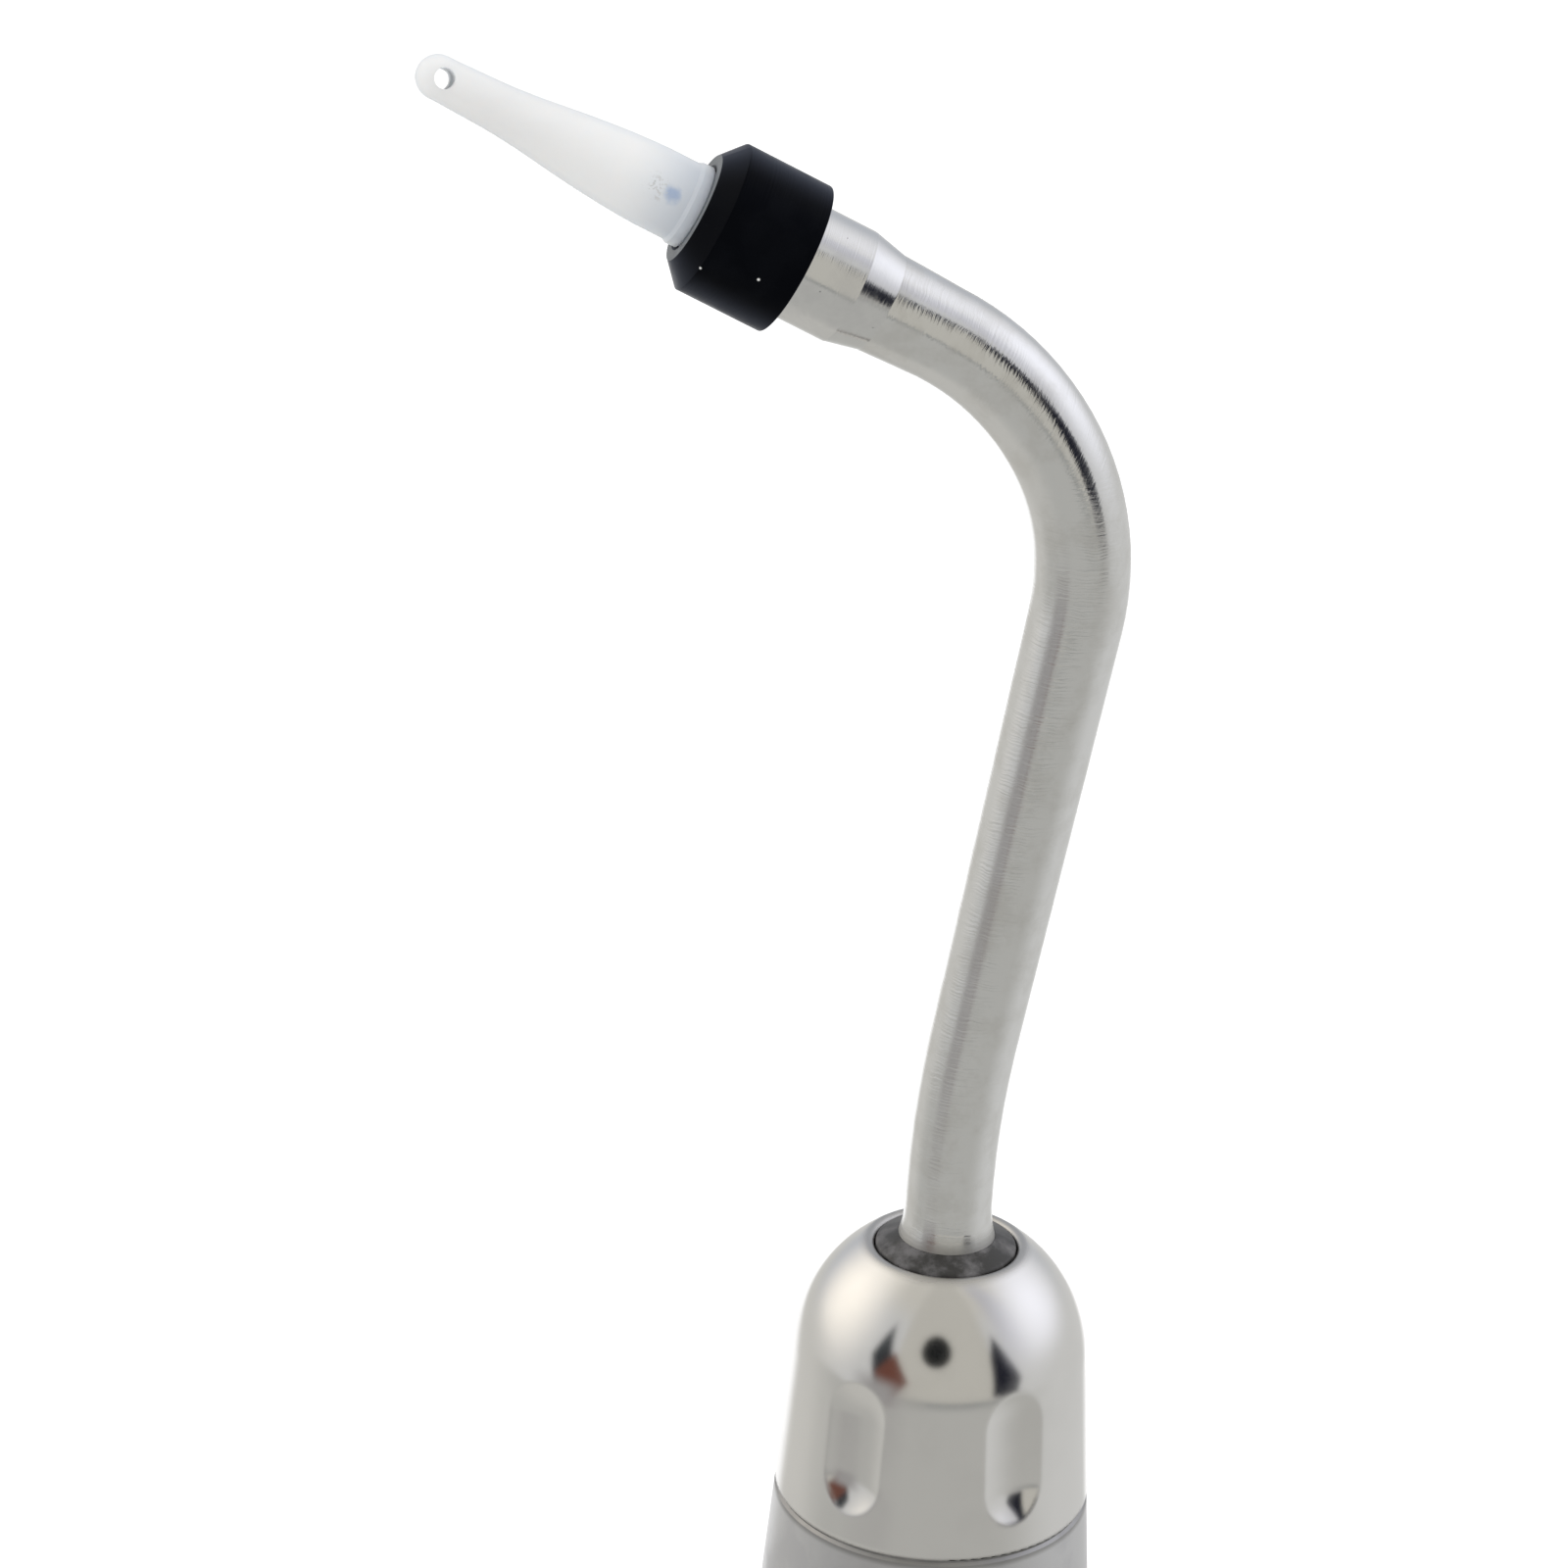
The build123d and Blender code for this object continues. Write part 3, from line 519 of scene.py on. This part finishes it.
nodeFinishes = {
    "nozzle": "milkyPlastic",
    "clamp_nut": "blackAcetal",
    "nozzle_gasket": "whiteSilicone",
    "tip_nipple": "socketSteel",
    "tip_socket": "socketSteel",
    "cannula_tube": "tubeSteel",
    "foot_ferrule": "turnedSteel",
    "foot_o_ring_upper": "blackRubber",
    "foot_o_ring_lower": "blackRubber",
    "dust_seal": "blackRubber",
    "thrust_washer": "waxyPolymer",
    "nose_cap": "chromePlate",
    "bearing_bush": "waxyPolymer",
    "chuck_body": "turnedSteel",
    "cap_drag_ring": "blackRubber",
    "joint_ring": "greyRubber",
    "barrel": "satinSteel",
    "core_tube": "turnedSteel",
    "core_o_ring_front": "blackRubber",
    "core_o_ring_rear": "blackRubber",
    "tail_ring": "blackRubber",
    "hose_spigot": "turnedSteel",
}
for name, finish in nodeFinishes.items():
    slots = nodes[name].data.materials
    slots.clear()
    slots.append(finishes[finish])
print("finishes ready:", len(finishes))


floorSettings = {
    "halfSize": 3.0, "drop": 0.00005,
    "shown": (0.92, 0.92, 0.92), "pale": (0.93, 0.93, 0.93), "glow": 0.30,
    "grainScale": 40.0, "grainDetail": 2.0,
    "bounce": (0.85, 0.85, 0.84),
}


def makeFloor(settings):
    mesh = bmesh.new()
    bmesh.ops.create_grid(mesh, x_segments=1, y_segments=1, size=settings["halfSize"])
    bmesh.ops.translate(mesh, verts=mesh.verts, vec=(0, 0, cadBox[0].z - settings["drop"]))
    data = bpy.data.meshes.new("floor")
    mesh.to_mesh(data)
    mesh.free()
    floor = bpy.data.objects.new("floor", data)
    scene.collection.objects.link(floor)
    material = bpy.data.materials.new("paleFloor")
    material.use_nodes = True
    tree = material.node_tree
    tree.nodes.clear()
    place = put(tree, "ShaderNodeTexCoord").outputs["Object"]
    grain = useGroup(tree, fineGrain, {"Vector": place, "Scale": settings["grainScale"],
                                       "Detail": settings["grainDetail"]})["Height"]
    reflected = put(tree, "ShaderNodeBsdfDiffuse", {"Color": rgb(*settings["bounce"])})
    shown = put(tree, "ShaderNodeBsdfDiffuse", {
        "Color": blendColors(tree, grain, rgb(*settings["shown"]), rgb(*settings["pale"])),
    })
    glow = put(tree, "ShaderNodeEmission", {"Color": rgb(1, 1, 1), "Strength": settings["glow"]})
    bright = put(tree, "ShaderNodeAddShader", {0: shown.outputs[0], 1: glow.outputs[0]})
    path = put(tree, "ShaderNodeLightPath").outputs
    seen = calc(tree, "MAXIMUM", path["Is Camera Ray"], path["Is Transmission Ray"])
    both = put(tree, "ShaderNodeMixShader", {0: seen, 1: reflected.outputs[0],
                                             2: bright.outputs[0]})
    output = tree.nodes.new("ShaderNodeOutputMaterial")
    tree.links.new(both.outputs[0], output.inputs["Surface"])
    data.materials.append(material)
    floor.visible_glossy = False


makeFloor(floorSettings)


# panels: azimuth and elevation of the middle, half width, half height, share of the half size
# over which the edge fades, colour; azimuth 0 is the front, positive towards +X
tentSettings = {
    "walls": (0.63, 0.63, 0.625),
    "panels": [
        {"at": (180, 14), "half": (44, 34), "edge": 0.8, "color": (0.54, 0.56, 0.60)},
        {"at": (0, 80), "half": (200, 30), "edge": 0.8, "color": (0.63, 0.61, 0.56)},
        {"at": (42, -2), "half": (17, 36), "edge": 0.3, "color": (0.004, 0.005, 0.014),
         "shape": "diamond"},
        {"at": (46, -14.5), "half": (18, 5), "edge": 0.5, "color": (0.47, 0.46, 0.44)},
        {"at": (-3, 32), "half": (38.5, 52), "edge": 0.1, "color": (0.55, 0.535, 0.49),
         "shape": "panel"},
        {"at": (62, 45), "half": (12, 30), "edge": 1.2, "color": (0.53, 0.53, 0.57)},
        {"at": (-114, 28), "half": (29, 27), "edge": 2.0, "color": (1.32, 1.25, 1.14),
         "shape": "round"},
        {"at": (99, 28), "half": (30, 25), "edge": 2.0, "color": (1.12, 1.13, 1.21),
         "shape": "round"},
        {"at": (-10, 28), "half": (13, 12.5), "edge": 0.25, "color": (0.0, 0.001, 0.002),
         "shape": "round"},
        {"at": (-54, 13), "half": (9, 28), "edge": 0.5, "color": (0.025, 0.03, 0.035),
         "shape": "diamond"},
        {"at": (0, -55), "half": (200, 41), "edge": 0.09, "color": (0.49, 0.487, 0.465)},
        {"at": (-110, -62), "half": (60, 26), "edge": 1.0, "color": (0.58, 0.57, 0.54)},
        {"at": (-148, -22), "half": (44, 20), "edge": 1.0, "color": (0.65, 0.64, 0.61)},
        {"at": (125, -24), "half": (58, 24), "edge": 1.1, "color": (0.66, 0.66, 0.65)},
        {"at": (180, -26), "half": (28, 8), "edge": 0.8, "color": (1.15, 1.15, 1.15)},
        {"at": (-44, 1), "half": (14, 20), "edge": 0.35, "color": (0.15, 0.055, 0.038),
         "shape": "diamond"},
        {"at": (4, -13.5), "half": (38, 1.6), "edge": 1.2, "color": (0.27, 0.28, 0.275)},
        {"at": (-53, -12), "half": (16, 9), "edge": 1.3, "color": (0.36, 0.35, 0.345)},
    ],
    # what matt faces see instead, from low to high
    "fill": (0.95, 0.72), "fillFrom": -0.2, "fillTo": 1.0,
}
panelPowers = {"panel": 9.0, "box": 4.0, "round": 2.0, "diamond": 1.0}


def makeTent(settings):
    world = bpy.data.worlds.new("lightTent")
    scene.world = world
    world.use_nodes = True
    tree = world.node_tree
    tree.nodes.clear()
    way = put(tree, "ShaderNodeTexCoord").outputs["Generated"]
    parts = put(tree, "ShaderNodeSeparateXYZ", {0: way}).outputs
    turn = calc(tree, "DEGREES", calc(tree, "ARCTAN2", parts[0], calc(tree, "MULTIPLY",
                                                                      parts[1], -1.0)))
    rise = calc(tree, "DEGREES", calc(tree, "ARCSINE", parts[2]))
    color = rgb(*settings["walls"])
    for panel in settings["panels"]:
        side = calc(tree, "SUBTRACT", turn, float(panel["at"][0]))
        side = calc(tree, "WRAP", side, 180.0, -180.0)
        across = calc(tree, "DIVIDE", calc(tree, "ABSOLUTE", side), float(panel["half"][0]))
        height = calc(tree, "SUBTRACT", rise, float(panel["at"][1]))
        upward = calc(tree, "DIVIDE", calc(tree, "ABSOLUTE", height), float(panel["half"][1]))
        power = panelPowers[panel.get("shape", "box")]
        far = calc(tree, "POWER", calc(tree, "ADD", calc(tree, "POWER", across, power),
                                       calc(tree, "POWER", upward, power)), 1 / power)
        fade = panel["edge"] / 2
        mask = softStep(tree, far, 1 - fade, 1 + fade, 1.0, 0.0)
        color = blendColors(tree, mask, color, rgb(*panel["color"]))
    path = put(tree, "ShaderNodeLightPath").outputs
    seen = calc(tree, "MAXIMUM", path["Is Camera Ray"], path["Is Transmission Ray"])
    level = softStep(tree, parts[2], settings["fillFrom"], settings["fillTo"], *settings["fill"])
    fill = put(tree, "ShaderNodeCombineColor", {0: level, 1: level, 2: level}).outputs[0]
    final = blendColors(tree, path["Is Glossy Ray"], fill, color)
    final = blendColors(tree, seen, final, rgb(1, 1, 1))
    glow = put(tree, "ShaderNodeBackground", {"Color": final, "Strength": 1.0})
    output = tree.nodes.new("ShaderNodeOutputWorld")
    tree.links.new(glow.outputs[0], output.inputs["Surface"])


makeTent(tentSettings)

lampSettings = {
    "overhead": {"at": (0.05, 0.05, 0.75), "size": 0.7, "power": 1.0, "tint": (1, 1, 1)},
    "left": {"at": (-0.55, -0.25, 0.38), "size": 0.45, "power": 0.8, "tint": (1, 0.97, 0.93)},
    "right": {"at": (0.55, -0.18, 0.38), "size": 0.45, "power": 0.8, "tint": (0.95, 0.97, 1)},
}


def makeLamp(name, settings):
    data = bpy.data.lights.new(name, "AREA")
    data.shape = "SQUARE"
    data.size = settings["size"]
    data.energy = settings["power"]
    data.color = settings["tint"]
    lamp = bpy.data.objects.new(name, data)
    scene.collection.objects.link(lamp)
    aim = Vector(cameraSettings["aim"]) - Vector(settings["at"])
    turn = aim.to_track_quat("-Z", "Y").to_matrix().to_4x4()
    lamp.matrix_world = Matrix.Translation(settings["at"]) @ turn
    lamp.visible_camera = False
    lamp.visible_glossy = False
    lamp.visible_transmission = False


for name, settings in lampSettings.items():
    makeLamp(name, settings)
scene.view_settings.view_transform = "Standard"
print("stage and light ready")
